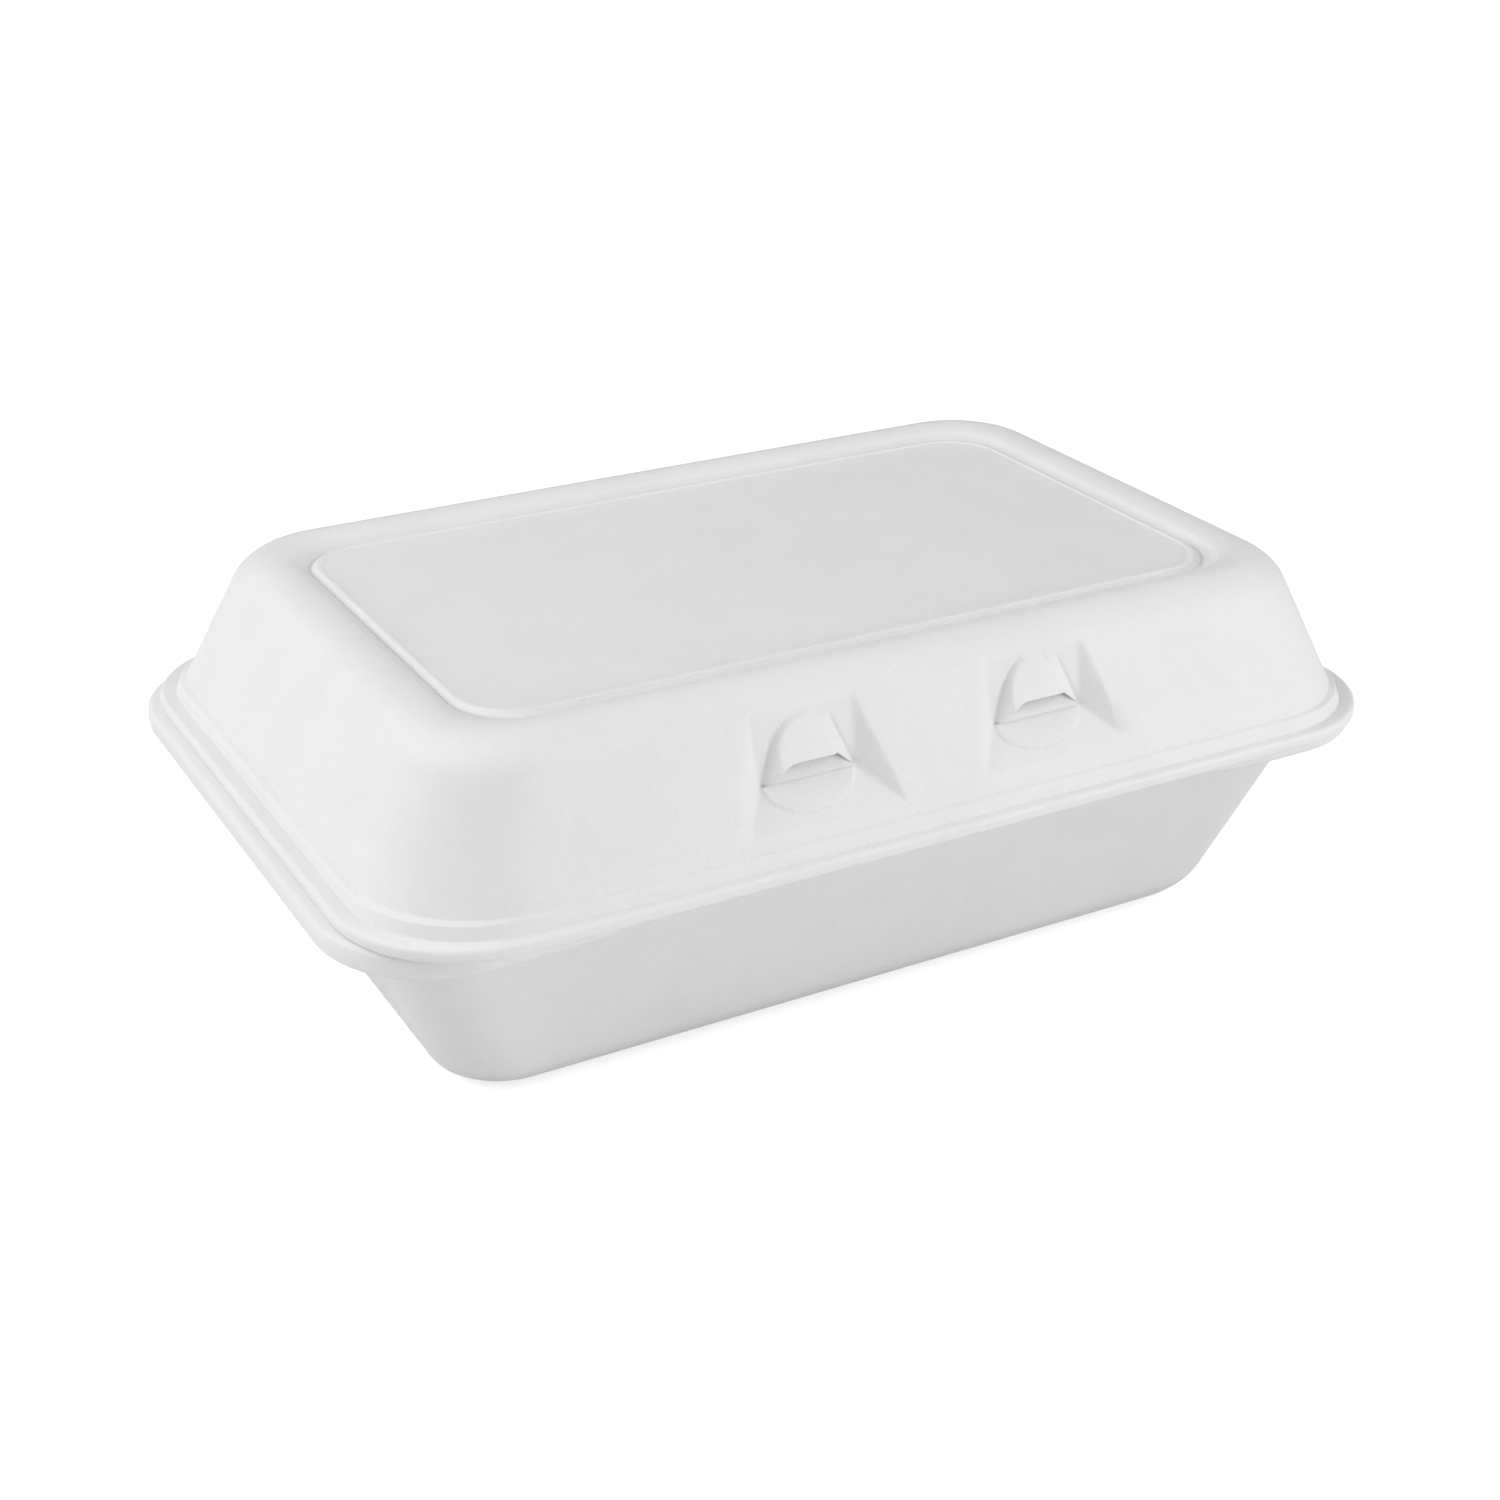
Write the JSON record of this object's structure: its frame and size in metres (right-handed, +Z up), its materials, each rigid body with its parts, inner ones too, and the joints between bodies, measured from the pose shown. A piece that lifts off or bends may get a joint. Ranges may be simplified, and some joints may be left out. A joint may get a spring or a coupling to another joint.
{
  "type": "foam clamshell container",
  "caption": "White foam clamshell food container with a deep tray, a hinged lid with a sunk top panel, and two domed snap locks in the front wall.",
  "frame": {"origin": "the middle of the flat floor on which the tray stands", "axes": "+X along the long sides, +Y towards the fold at the rear, +Z up"},
  "size_m": [0.229, 0.1509, 0.0817],
  "materials": {
    "foam": "fine-grained foam skin"
  },
  "bodies": {
    "base": {"base_tray": "foam"},
    "cover": {"lid": "foam"}
  },
  "joints": [
    {"name": "lid_fold", "type": "hinge", "parent": "base", "child": "cover", "pos_m": [0, 0.07285, 0.04847], "axis": [-1, 0, 0], "range_deg": [0, 180]}
  ]
}
